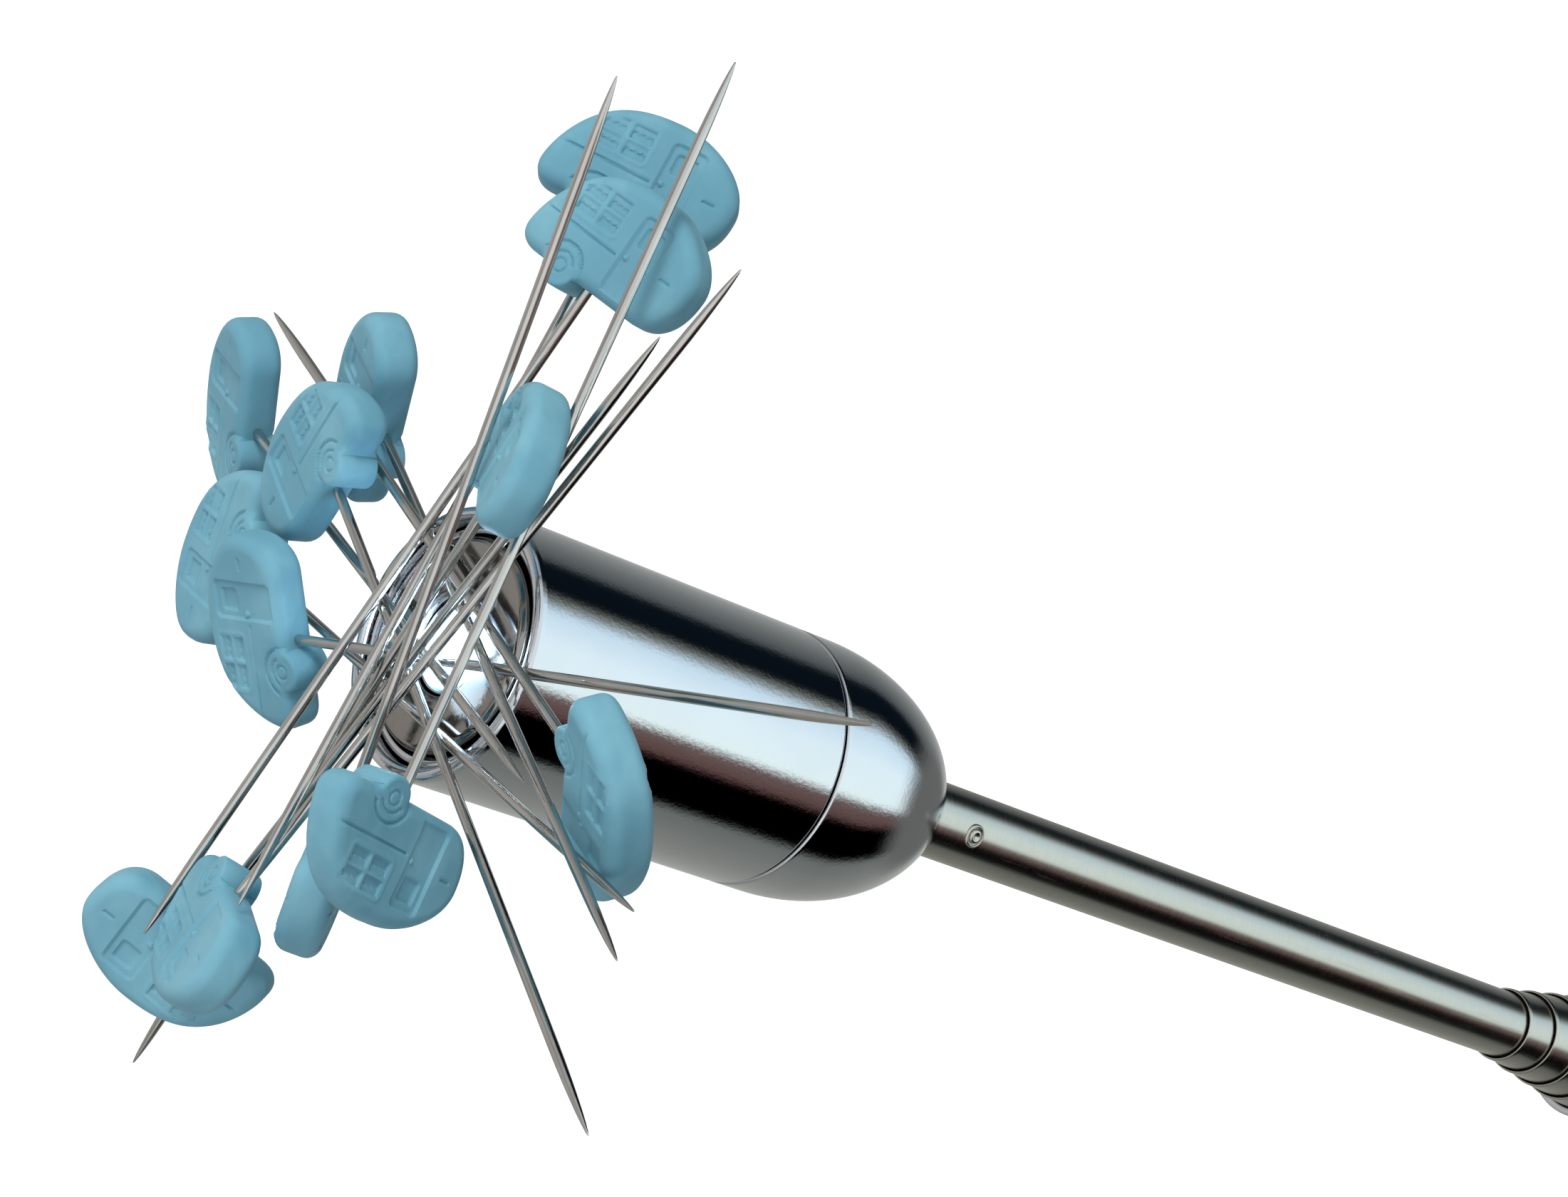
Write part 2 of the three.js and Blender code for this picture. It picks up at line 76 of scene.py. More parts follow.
FACE = high("head_barrel")
HEAD = radius("head_barrel")
SEAM = low("head_barrel")
CAP_END = low("rear_cap")
STEM = radius("tube_1")
MAGNET = radius("ring_magnet")
WALL = 0.25
NOSE_LENGTH = 12.9
MAGNET_BORE = 3.15
BEZEL_RADIUS = 3.05
LENS_RADIUS = 2.5
LENS_FLANGE = 2.9
FLUTES = 36
FLUTE_DEPTH = 0.22
CLIP_BAND_GAP = 0.1
CLIP_METAL = 0.6
CLIP_HALF_WIDTH = 2.5
TWIST_SIDES = 160
PIN_LENGTH = 46.8
PIN_RADIUS = 0.33
PIN_ROOT = 4.0
HALF_THICK = 1.4
EDGE = 0.9
WHEEL = (1.8, 0.3)
WHEEL_RADIUS = 1.3
WHEEL_EDGE = 0.28
LETTERS = "abcdefghijklm"
GRAIN_SHIFT = 60

# ---------------------------------------------------------------------------
# Finishes
# ---------------------------------------------------------------------------


class Wire:
    """One socket's value, so that shader maths reads as plain expressions."""

    def __init__(self, finish, socket):
        self.finish = finish
        self.socket = socket

    def __add__(self, other):
        return self.finish.maths("ADD", self, other)

    def __sub__(self, other):
        return self.finish.maths("SUBTRACT", self, other)

    def __rsub__(self, other):
        return self.finish.maths("SUBTRACT", other, self)

    def __mul__(self, other):
        return self.finish.maths("MULTIPLY", self, other)

    __radd__ = __add__
    __rmul__ = __mul__


class Finish:
    """The node tree of one material, or of the studio's surroundings."""

    def __init__(self, tree):
        self.tree = tree
        tree.nodes.clear()

    def node(self, kind, settings, sockets, output=0):
        made = self.tree.nodes.new(kind)
        for name, value in settings.items():
            if name == "stops":
                self.set_stops(made.color_ramp, value)
            else:
                setattr(made, name, value)
        for name, value in sockets.items():
            if isinstance(value, Wire):
                self.tree.links.new(value.socket, made.inputs[name])
            else:
                made.inputs[name].default_value = value
        return Wire(self, made.outputs[output]) if made.outputs else None

    def set_stops(self, ramp, stops):
        while len(ramp.elements) < len(stops):
            ramp.elements.new(0.5)
        for element, (place, colour) in zip(ramp.elements, stops):
            element.position = place
            element.color = (*colour, 1)

    def maths(self, operation, first, second):
        settings = {"operation": operation}
        return self.node("ShaderNodeMath", settings, {0: first, 1: second})

    def place(self):
        """Where a point is on its piece, in millimetres."""
        spot = self.node("ShaderNodeTexCoord", {}, {}, "Object")
        return self.stretched(spot, (1000, 1000, 1000))

    def grain(self):
        """Where a point is in its pin's own frame, in millimetres."""
        return self.node("ShaderNodeAttribute", {"attribute_name": "grain"}, {}, "Vector")

    def stretched(self, spot, scales):
        return self.node("ShaderNodeVectorMath", {"operation": "MULTIPLY"}, {0: spot, 1: scales})

    def away(self, spot, middle):
        """Distance from the point middle, in millimetres."""
        sockets = {0: spot, 1: middle}
        return self.node("ShaderNodeVectorMath", {"operation": "DISTANCE"}, sockets, "Value")

    def noise(self, spot, size, detail=2.0, rough=0.5):
        """Cloudy variation between 0 and 1 whose blobs are about size millimetres across."""
        sockets = {"Vector": spot, "Scale": 1 / size, "Detail": detail, "Roughness": rough}
        return self.node("ShaderNodeTexNoise", {}, sockets)

    def between(self, mask, bottom, top):
        """mask stretched so that bottom becomes 0 and top becomes 1."""
        sockets = {"Value": mask, "From Min": bottom, "From Max": top}
        return self.node("ShaderNodeMapRange", {"interpolation_type": "SMOOTHSTEP"}, sockets)

    def tint(self, mask, first, second):
        """The first colour where mask is 0 and the second where it is 1."""
        colours = [value if isinstance(value, Wire) else (*value, 1) for value in (first, second)]
        sockets = {0: mask, 6: colours[0], 7: colours[1]}
        return self.node("ShaderNodeMix", {"data_type": "RGBA"}, sockets, 2)

    def bump(self, height, depth, strength=1.0):
        """Relief depth millimetres deep where height goes from 0 to 1."""
        sockets = {"Height": height, "Distance": depth * MM, "Strength": strength}
        return self.node("ShaderNodeBump", {}, sockets)

    def surface(self, **sockets):
        named = {name.replace("_", " "): value for name, value in sockets.items()}
        shader = self.node("ShaderNodeBsdfPrincipled", {}, named)
        self.node("ShaderNodeOutputMaterial", {}, {"Surface": shader})


def finish_of(name):
    material = bpy.data.materials.new(name)
    material.use_nodes = True
    return material, Finish(material.node_tree)


def mirror_chrome():
    material, f = finish_of("mirror_chrome")
    spot = f.place()
    cloud = f.noise(spot, 5, 3)
    specks = f.noise(spot, 0.28, 4, 0.7)
    wipes = f.noise(f.stretched(spot, (1, 1, 0.6)), 0.4, 4, 0.7)
    marks = f.between(wipes, 0.52, 0.72)
    f.surface(
        Base_Color=f.tint(cloud, (0.66, 0.67, 0.69), (0.74, 0.75, 0.77)),
        Metallic=1.0,
        Roughness=0.03 + marks * 0.06 + f.between(cloud, 0.5, 0.8) * 0.03,
        Normal=f.bump(specks * 0.7 + wipes * 0.5, 0.015, 0.7),
    )
    return material


def stainless_tube():
    material, f = finish_of("stainless_tube")
    spot = f.place()
    rings = f.noise(f.stretched(spot, (0.08, 0.08, 1)), 0.09, 3, 0.7)
    rubbed = f.noise(f.stretched(spot, (1, 1, 0.05)), 0.35, 3, 0.6)
    scratch = f.between(rubbed, 0.58, 0.74)
    f.surface(
        Base_Color=f.tint(rings, (0.47, 0.45, 0.4), (0.63, 0.605, 0.55)),
        Metallic=1.0,
        Roughness=0.17 + rings * 0.12 + scratch * 0.12,
        Normal=f.bump(rings * 0.7 + scratch * 0.3, 0.003, 0.4),
    )
    return material


def plated_magnet():
    material, f = finish_of("plated_magnet")
    spot = f.place()
    haze = f.noise(spot, 1.6, 4, 0.6)
    grit = f.noise(spot, 0.22, 3, 0.7)
    wear = f.between(f.noise(spot, 0.5, 3, 0.7), 0.55, 0.75)
    # A pale, less metallic patch beside the lens: its near-white colour is a painted reflection
    # of the lamp's glow on the plating, and the extra roughness there is real surface texture.
    glow_reflection_distance = f.away(spot, (-1.9, -3.6, FACE - 0.4))
    painted_glow_reflection = 1 - f.between(glow_reflection_distance + grit * 0.9, 1.7, 2.4)
    plating = f.tint(haze, (0.27, 0.25, 0.23), (0.4, 0.375, 0.35))
    f.surface(
        Base_Color=f.tint(painted_glow_reflection, plating, (0.84, 0.88, 0.88)),
        Metallic=1.0 - painted_glow_reflection * 0.55,
        Roughness=0.06 + f.between(haze, 0.45, 0.7) * 0.14 + wear * 0.06 + painted_glow_reflection * 0.3,
        Normal=f.bump(haze * 0.4 + grit * 0.6, 0.008, 0.5),
    )
    return material


def pin_steel():
    material, f = finish_of("pin_steel")
    spot = f.grain()
    drawn = f.noise(f.stretched(spot, (1, 1, 0.03)), 0.12, 3, 0.7)
    patches = f.noise(f.stretched(spot, (1, 1, 0.4)), 1.2, 3)
    f.surface(
        Base_Color=f.tint(patches, (0.46, 0.44, 0.41), (0.68, 0.655, 0.62)),
        Metallic=1.0,
        Roughness=0.08 + drawn * 0.1 + f.between(patches, 0.5, 0.75) * 0.08,
        Normal=f.bump(drawn, 0.012, 0.6),
    )
    return material


def plated_steel():
    material, f = finish_of("plated_steel")
    spot = f.place()
    cloud = f.noise(spot, 0.8, 4)
    f.surface(
        Base_Color=f.tint(cloud, (0.46, 0.45, 0.41), (0.62, 0.61, 0.58)),
        Metallic=1.0,
        Roughness=0.24 + cloud * 0.16,
        Normal=f.bump(f.noise(spot, 0.1), 0.004, 0.5),
    )
    return material


def cell_can():
    material, f = finish_of("cell_can")
    spot = f.place()
    lines = f.noise(f.stretched(spot, (1, 0.06, 1)), 0.1, 3, 0.7)
    cloud = f.noise(spot, 2.5)
    f.surface(
        Base_Color=f.tint(cloud, (0.58, 0.58, 0.57), (0.68, 0.68, 0.67)),
        Metallic=1.0,
        Roughness=0.2 + lines * 0.14,
        Normal=f.bump(lines, 0.003, 0.5),
    )
    return material


def sprung_brass():
    material, f = finish_of("sprung_brass")
    spot = f.place()
    tarnish = f.noise(spot, 1.1, 4, 0.6)
    lines = f.noise(f.stretched(spot, (1, 1, 0.05)), 0.12, 3)
    f.surface(
        Base_Color=f.tint(f.between(tarnish, 0.4, 0.75), (0.66, 0.48, 0.2), (0.4, 0.27, 0.12)),
        Metallic=1.0,
        Roughness=0.22 + lines * 0.15 + tarnish * 0.1,
        Normal=f.bump(lines, 0.004, 0.5),
    )
    return material


def camper_plastic():
    material, f = finish_of("camper_plastic")
    spot = f.place()
    flow = f.noise(f.stretched(spot, (0.5, 0.5, 1)), 3.2, 3, 0.55)
    specks = f.noise(spot, 0.16, 3, 0.65)
    skin = f.noise(spot, 0.07, 2, 0.6)
    pale = f.tint(f.between(flow, 0.35, 0.7), (0.155, 0.39, 0.5), (0.22, 0.49, 0.6))
    worn = f.between(specks, 0.62, 0.8) * 0.35
    f.surface(
        Base_Color=f.tint(worn, pale, (0.29, 0.57, 0.69)),
        Roughness=0.36 + specks * 0.2,
        Specular_IOR_Level=0.42,
        Subsurface_Weight=0.22,
        Subsurface_Radius=(0.35, 0.7, 1.0),
        Subsurface_Scale=0.0012,
        Normal=f.bump(skin * 0.5 + specks * 0.5, 0.012, 0.45),
    )
    return material


def clear_resin():
    material, f = finish_of("clear_resin")
    spot = f.place()
    swirl = f.noise(spot, 0.9, 3, 0.6)
    heart = 1 - f.between(f.away(spot, (0, 0, FACE - 2)), 0.4, 2.7)
    glow = f.tint(heart, (0.17, 0.44, 0.84), (0.92, 0.98, 1.0))
    f.surface(
        Base_Color=f.tint(swirl, (0.72, 0.86, 0.97), (0.9, 0.96, 1.0)),
        Roughness=0.05 + swirl * 0.08,
        IOR=1.53,
        Transmission_Weight=0.3,
        Emission_Color=f.tint(f.between(swirl, 0.35, 0.65) * 0.35, glow, (0.55, 0.8, 1.0)),
        Emission_Strength=1.7,
        Normal=f.bump(swirl, 0.01, 0.3),
    )
    return material


def lamp_board():
    material, f = finish_of("lamp_board")
    spot = f.place()
    weave = f.node("ShaderNodeTexChecker", {}, {"Vector": spot, "Scale": 2.4}, 1)
    cloud = f.noise(spot, 1.4, 3)
    f.surface(
        Base_Color=f.tint(weave * 0.25 + cloud * 0.5, (0.03, 0.16, 0.075), (0.09, 0.29, 0.15)),
        Roughness=0.32 + cloud * 0.2,
        Normal=f.bump(weave, 0.01, 0.4),
    )
    return material


def seal_rubber():
    material, f = finish_of("seal_rubber")
    spot = f.place()
    dust = f.noise(spot, 0.3, 3)
    f.surface(
        Base_Color=f.tint(dust, (0.012, 0.012, 0.013), (0.04, 0.04, 0.042)),
        Roughness=0.55 + dust * 0.2,
        Normal=f.bump(dust, 0.01, 0.5),
    )
    return material


def insulating_card():
    material, f = finish_of("insulating_card")
    spot = f.place()
    fibre = f.noise(f.stretched(spot, (1, 1, 0.2)), 0.3, 4, 0.65)
    f.surface(
        Base_Color=f.tint(fibre, (0.68, 0.66, 0.6), (0.86, 0.85, 0.81)),
        Roughness=0.7 + fibre * 0.2,
        Normal=f.bump(fibre, 0.015, 0.6),
    )
    return material


def pale_floor():
    material, f = finish_of("pale_floor")
    spot = f.place()
    cloud = f.noise(spot, 220, 3)
    f.surface(
        Base_Color=f.tint(cloud, (0.93, 0.935, 0.94), (0.96, 0.96, 0.965)),
        Roughness=0.7 + cloud * 0.15,
        Emission_Color=f.tint(cloud, (0.96, 0.98, 1.0), (1.0, 1.0, 1.0)),
        Emission_Strength=0.42,
    )
    return material


FINISHES = {
    "mirror_chrome": mirror_chrome(),
    "stainless_tube": stainless_tube(),
    "plated_magnet": plated_magnet(),
    "pin_steel": pin_steel(),
    "plated_steel": plated_steel(),
    "cell_can": cell_can(),
    "sprung_brass": sprung_brass(),
    "camper_plastic": camper_plastic(),
    "clear_resin": clear_resin(),
    "lamp_board": lamp_board(),
    "seal_rubber": seal_rubber(),
    "insulating_card": insulating_card(),
}

# ---------------------------------------------------------------------------
# Making and placing pieces
# ---------------------------------------------------------------------------


def piece(name, points, faces, slot, body, *nodes):
    """A smooth mesh in row coordinates that rides on body and stands for the CAD nodes."""
    mesh = bpy.data.meshes.new(name)
    mesh.from_pydata([tuple(point) for point in points], [], faces)
    mesh.polygons.foreach_set("use_smooth", [True] * len(mesh.polygons))
    mesh.set_sharp_from_angle(angle=math.radians(38))
    mesh.materials.append(FINISHES[slot])
    mesh.update()
    made = bpy.data.objects.new(name, mesh)
    bpy.context.scene.collection.objects.link(made)
    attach(made, body)
    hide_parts(*nodes)
    return made


def eased(profile, size, steps=4, closed=True):
    """The profile with each corner rounded off by about size."""
    corners = [Vector(corner) for corner in profile]
    count = len(corners)
    eased_points = []
    for index, corner in enumerate(corners):
        if not closed and index in (0, count - 1):
            eased_points.append(tuple(corner))
            continue
        before = corners[index - 1] - corner
        after = corners[(index + 1) % count] - corner
        straight = before.angle(after, math.pi) > math.radians(172)
        cut = min(size, before.length * 0.45, after.length * 0.45)
        if straight or cut < 0.01:
            eased_points.append(tuple(corner))
            continue
        start = corner + before.normalized() * cut
        end = corner + after.normalized() * cut
        for step in range(steps + 1):
            t = step / steps
            bend = start * (1 - t) ** 2 + corner * 2 * t * (1 - t) + end * t * t
            eased_points.append(tuple(bend))
    return eased_points


def turned(profile, sides=TWIST_SIDES, closed=True, flutes=None):
    """Points and faces of a profile of (radius, height) turned about +Z, anticlockwise."""
    points = []
    rows = []
    for reach, height in profile:
        if reach < 1e-6:
            rows.append([len(points)])
            points.append((0.0, 0.0, height))
            continue
        rows.append(list(range(len(points), len(points) + sides)))
        for side in range(sides):
            angle = 2 * math.pi * side / sides
            out = reach if flutes is None else flutes(reach, height, angle)
            points.append((out * math.cos(angle), out * math.sin(angle), height))
    faces = []
    pairs = list(zip(rows, rows[1:]))
    if closed:
        pairs.append((rows[-1], rows[0]))
    for lower, upper in pairs:
        for side in range(sides):
            after = (side + 1) % sides
            if len(lower) == 1 and len(upper) == 1:
                break
            if len(lower) == 1:
                faces.append((lower[0], upper[after], upper[side]))
            elif len(upper) == 1:
                faces.append((lower[side], lower[after], upper[0]))
            else:
                faces.append((lower[side], lower[after], upper[after], upper[side]))
    return points, faces


def put_in_row(points, origin, across, over, up):
    """Millimetre points in a local frame as row coordinates in metres."""
    axes = np.array([across, over, up])
    return np.array(origin) + (np.array(points) @ axes) * MM


def upright(name, profile, slot, body, *nodes, soften=0.1, sides=TWIST_SIDES, closed=True,
            flutes=None):
    """A piece turned about the tool's own axis."""
    smooth = eased(profile, soften, closed=closed)
    points, faces = turned(smooth, sides, closed, flutes)
    return piece(name, np.array(points) * MM, faces, slot, body, *nodes)


def quarter_ellipse(reach, length, middle, steps, start, end):
    """Profile points along part of an ellipse centred on the axis at height middle."""
    arc = []
    for step in range(steps + 1):
        angle = start + (end - start) * step / steps
        arc.append((reach * math.cos(angle), middle + length * math.sin(angle)))
    return arc


# ---------------------------------------------------------------------------
# Handle and sliding tubes
# ---------------------------------------------------------------------------


def swaged_tube(name, slot, body, node):
    """A thin tube whose upper end closes in on the tube inside it."""
    outer = radius(node)
    bore = outer - WALL
    bottom = low(node)
    top = high(node)
    profile = [
        (bore, bottom + 0.15), (bore + 0.08, bottom), (outer - 0.08, bottom),
        (outer, bottom + 0.12), (outer, top - 3), (outer - 0.03, top - 2.5),
        (outer - 0.12, top - 1.4),
        (outer - 0.15, top - 0.2), (outer - 0.23, top), (bore - 0.07, top),
        (bore - 0.1, top - 0.4), (bore, top - 3),
    ]
    return upright(name, profile, slot, body, node, soften=0.12)


def end_knob():
    """The end cap, with flutes to grip it by."""
    outer = radius("end_cap")
    top = high("end_cap")
    wall = radius("outer_tube") + 0.1
    plug = radius("outer_tube") - WALL - 0.1
    profile = [
        (0, 0), (outer - 1, 0), (outer - 0.3, 0.3), (outer, 1), (outer, 1.6),
        (outer, 2.2), (outer, 2.8), (outer, 4.4), (outer, 6), (outer, 6.6), (outer, 7.2),
        (outer, top - 0.6), (outer - 0.4, top), (wall, top), (wall, 2.7), (plug, 2.7),
        (plug, top - 2), (0, top - 2),
    ]

    def fluted(reach, height, angle):
        if reach < outer - 0.05 or not 2.0 < height < 6.8:
            return reach
        ease = min(1.0, (height - 2.0) / 0.7, (6.8 - height) / 0.7)
        return reach - FLUTE_DEPTH * ease * (0.5 + 0.5 * math.cos(FLUTES * angle)) ** 2

    return upright("end_knob", profile, "mirror_chrome", "handle", "end_cap", soften=0.15,
                   sides=288, closed=False, flutes=fluted)


def rounded_strap(x_half, thick_half, corner=0.16, steps=4):
    """Outline of a flat strap's cross-section, with its four edges rounded."""
    outline = []
    for quarter in range(4):
        middle_x = (x_half - corner) * (1 if quarter in (0, 3) else -1)
        middle_t = (thick_half - corner) * (1 if quarter in (0, 1) else -1)
        for step in range(steps + 1):
            angle = (quarter + step / steps) * math.pi / 2
            x = middle_x + corner * math.cos(angle)
            outline.append((x, middle_t + corner * math.sin(angle)))
    return outline


def clip():
    """A sprung band round the handle, and the folded arm that presses on a pocket."""
    top = high("pocket_clip")
    inner = radius("outer_tube") + CLIP_BAND_GAP
    outer = inner + CLIP_METAL
    far = outer + 2.7
    band = [(inner, top - 9), (outer, top - 9), (outer, top - 1), (inner, top - 1)]
    points, faces = turned(eased(band, 0.16))
    corners = [
        (outer + 0.1, top - 3.4), (outer + 0.1, top - 0.3), (far, top - 0.3), (far, top - 2.4),
        (outer + 0.8, top - 46), (outer + 0.6, top - 48), (outer + 2.3, top - 50.1),
    ]
    path = np.array(eased(corners, 1.3, 8, closed=False))
    run = np.gradient(path, axis=0)
    outward = np.stack([-run[:, 1], run[:, 0]], 1) / np.hypot(*run.T)[:, None]
    rings = []
    for spot, normal in zip(path, outward):
        narrow = 0.35 * min(1.0, max(0.0, (top - 40 - spot[1]) / 10))
        ring = []
        for x, t in rounded_strap(CLIP_HALF_WIDTH - narrow, CLIP_METAL / 2):
            ring.append(len(points))
            y, z = spot + normal * t
            points.append((x, y, z))
        rings.append(ring)
    count = len(rings[0])
    for lower, upper in zip(rings, rings[1:]):
        for side in range(count):
            after = (side + 1) % count
            faces.append((lower[side], upper[side], upper[after], lower[after]))
    faces += [tuple(rings[0]), tuple(reversed(rings[-1]))]
    return piece("clip", np.array(points) * MM, faces, "mirror_chrome", "handle", "pocket_clip")


swaged_tube("handle_tube", "stainless_tube", "handle", "outer_tube")
end_knob()
clip()
for stage in (4, 3, 2):
    swaged_tube(f"sliding_tube_{stage}", "stainless_tube", f"stage_{stage}", f"tube_{stage}")


def stem():
    """The thinnest tube, plain from end to end."""
    bottom = low("tube_1")
    top = high("tube_1")
    bore = STEM - WALL
    profile = [(bore, bottom), (STEM, bottom), (STEM, top), (bore, top)]
    return upright("stem_tube", profile, "stainless_tube", "stem", "tube_1", soften=0.08)


def rivet():
    """A round-headed rivet across the stem, with a burr where it was set."""
    node = "stud_rivet"
    foot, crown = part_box(node)
    height = (foot.z + crown.z) / 2 / MM
    half = crown.y / MM
    wide = crown.x / MM + 0.17
    head = [
        (0, half - 0.1), (0.15, half - 0.07), (0.28, half), (0.4, half - 0.01),
        (0.5, half - 0.09), (0.54, half - 0.24), (0.6, half - 0.24), (0.64, half - 0.11),
        (0.72, half - 0.1), (wide, half - 0.18), (wide, half - 0.42), (0.6, half - 0.5),
    ]
    profile = [(reach, -place) for reach, place in head] + head[::-1]
    points, faces = turned(eased(profile, 0.05, 3, closed=False), 64, closed=False)
    row = put_in_row(points, (0, 0, height * MM), (0, 0, 1), (1, 0, 0), (0, 1, 0))
    return piece("rivet", row, faces, "stainless_tube", "stem", node)


stem()
rivet()

# ---------------------------------------------------------------------------
# Head
# ---------------------------------------------------------------------------


def battery_cap():
    """The round-nosed cap, with its neck inside the barrel."""
    straight = SEAM - 0.2
    middle = CAP_END + NOSE_LENGTH
    bore = STEM + 0.1
    rim = math.acos(bore / HEAD)
    foot = middle - NOSE_LENGTH * math.sin(rim)
    floor = foot + 5.4
    neck = HEAD - 1.15
    inner = neck - 0.75
    nose = quarter_ellipse(HEAD, NOSE_LENGTH, middle, 48, -rim, 0)
    rest = [
        (HEAD, straight - 0.22), (HEAD - 0.05, straight - 0.08), (HEAD - 0.16, straight),
        (neck, straight), (neck, straight + 4.6), (neck - 0.3, straight + 5),
        (inner, straight + 5), (inner, middle - 3.2), (inner - 1.6, floor + 1.6),
        (4.2, floor + 0.5), (bore, floor + 0.5),
    ]
    return upright("battery_cap", nose + rest, "mirror_chrome", "stem", "rear_cap", soften=0.06)


def barrel():
    """The straight part of the head, with a rolled lip round the magnet."""
    inner = HEAD - 0.9
    profile = [
        (inner, SEAM), (HEAD - 0.16, SEAM), (HEAD - 0.05, SEAM + 0.08), (HEAD, SEAM + 0.22),
        (HEAD, FACE - 0.55), (HEAD - 0.05, FACE - 0.3), (HEAD - 0.16, FACE - 0.12),
        (HEAD - 0.34, FACE - 0.02), (HEAD - 0.48, FACE), (HEAD - 0.62, FACE - 0.02),
        (HEAD - 0.78, FACE - 0.12), (HEAD - 0.87, FACE - 0.3), (inner, FACE - 0.6),
    ]
    return upright("barrel", profile, "mirror_chrome", "lamp_head", "head_barrel", soften=0.05)


def cup():
    """The plated cup that shows as a sunken ring between the lip and the magnet."""
    outer = radius("magnet_cup")
    top = high("magnet_cup")
    bottom = low("magnet_cup")
    bore = MAGNET_BORE
    inner = MAGNET + 0.2
    profile = [
        (bore, bottom), (outer, bottom), (outer, top - 0.25), (outer - 0.12, top - 0.05),
        (outer - 0.3, top), (inner + 0.2, top), (inner + 0.06, top - 0.06), (inner, top - 0.25),
        (inner, bottom + 0.9), (bore, bottom + 0.9),
    ]
    return upright("cup", profile, "mirror_chrome", "lamp_head", "magnet_cup", soften=0.05)


def magnet():
    """The plated ring magnet, its edges rounded."""
    bottom = low("ring_magnet")
    top = high("ring_magnet")
    bore = MAGNET_BORE
    profile = [
        (bore, bottom), (MAGNET, bottom), (MAGNET, top - 0.38), (MAGNET - 0.06, top - 0.26),
        (MAGNET - 0.26, top - 0.06), (MAGNET - 0.4, top), (bore + 0.4, top),
        (bore + 0.26, top - 0.06), (bore + 0.06, top - 0.26), (bore, top - 0.38),
    ]
    return upright("magnet", profile, "plated_magnet", "lamp_head", "ring_magnet", soften=0.06)


def bezel():
    """The bright ring that holds the lens."""
    bottom = low("lamp_bezel")
    top = high("lamp_bezel")
    profile = [
        (2.6, bottom), (BEZEL_RADIUS, bottom), (BEZEL_RADIUS, top - 0.1), (2.98, top),
        (2.86, top), (2.6, top - 1.2),
    ]
    return upright("bezel", profile, "mirror_chrome", "lamp_head", "lamp_bezel", soften=0.05)


def lens():
    """The lamp's moulded lens: a dome on a straight body with a flange at its foot."""
    bottom = low("lamp_lens")
    top = high("lamp_lens")
    middle = top - LENS_RADIUS
    profile = [
        (0, bottom), (LENS_FLANGE, bottom), (LENS_FLANGE, bottom + 0.4),
        (LENS_RADIUS, bottom + 0.4),
    ]
    dome = quarter_ellipse(LENS_RADIUS, LENS_RADIUS, middle, 28, 0, math.pi / 2)
    profile += dome[:-1] + [(0, top)]
    return upright("lens", profile, "clear_resin", "lamp_head", "lamp_lens", soften=0.05,
                   sides=96, closed=False)


battery_cap()
barrel()
cup()
magnet()
bezel()
lens()

# ---------------------------------------------------------------------------
# Camper grips: an outline in the pin's own frame, nose towards +X and roof towards +Y
# ---------------------------------------------------------------------------


def curve(start, first, second, end, steps):
    """Points along a cubic curve, without its end."""
    points = []
    for step in range(steps):
        t = step / steps
        weights = ((1 - t) ** 3, 3 * t * (1 - t) ** 2, 3 * t * t * (1 - t), t ** 3)
        points.append(np.array([start, first, second, end]).T @ weights)
    return points


def camper_outline():
    """The side view of a small rounded trailer, with its wheel below the floor line."""
    lobe = math.asin(WHEEL[1] / WHEEL_RADIUS)
    outline = [np.array([-3.9 + step * 4.44 / 20, 0.0]) for step in range(20)]
    for step in range(26):
        angle = math.pi + lobe + (math.pi - 2 * lobe) * step / 25
        spoke = np.array([math.cos(angle), math.sin(angle)])
        outline.append(np.array(WHEEL) + WHEEL_RADIUS * spoke)
    outline += [np.array([3.2 + step * 0.9 / 4, 0.0]) for step in range(1, 4)]
    outline += curve((4.1, 0), (5.2, 0), (5.75, 0.6), (5.65, 1.5), 12)
    outline += curve((5.65, 1.5), (5.55, 2.6), (4.9, 4.4), (3.6, 5.6), 26)
    outline += curve((3.6, 5.6), (2.3, 6.8), (0.6, 7.1), (-1.2, 7.1), 26)
    outline += curve((-1.2, 7.1), (-3.6, 7.1), (-6.5, 5.4), (-6.5, 3.4), 34)
    outline += curve((-6.5, 3.4), (-6.5, 1.4), (-5.5, 0), (-3.9, 0), 24)
    return np.array(outline)


def from_edge(points, outline):
    """Each point's distance from the outline, negative outside it."""
    ends = np.roll(outline, -1, axis=0)
    run = ends - outline
    length = (run ** 2).sum(1)
    best = np.full(len(points), 1e9)
    inside = np.zeros(len(points), bool)
    for start, stretch, size in zip(outline, run, length):
        t = np.clip(((points - start) @ stretch) / size, 0, 1)
        gap = np.hypot(*(points - start - t[:, None] * stretch).T)
        best = np.minimum(best, gap)
        above = (start[1] > points[:, 1]) != (start[1] + stretch[1] > points[:, 1])
        rise = stretch[1] if abs(stretch[1]) > 1e-12 else 1e-12
        crossing = start[0] + (points[:, 1] - start[1]) / rise * stretch[0]
        inside ^= above & (points[:, 0] < crossing)
    return np.where(inside, best, -best)


def step_in(distance, width=0.1):
    """1 inside a shape and 0 outside it, with a soft wall width wide."""
    t = np.clip(0.5 - distance / width, 0, 1)
    return t * t * (3 - 2 * t)


def rounded_box(x, y, middle, half, corner=0.15):
    """Distance outside a box with rounded corners."""
    across = np.abs(x - middle[0]) - (half[0] - corner)
    up = np.abs(y - middle[1]) - (half[1] - corner)
    outside = np.hypot(np.maximum(across, 0), np.maximum(up, 0))
    return outside + np.minimum(np.maximum(across, up), 0) - corner


def from_hub(x, y):
    """Distance from the middle of the wheel."""
    return np.hypot(x - WHEEL[0], y - WHEEL[1])


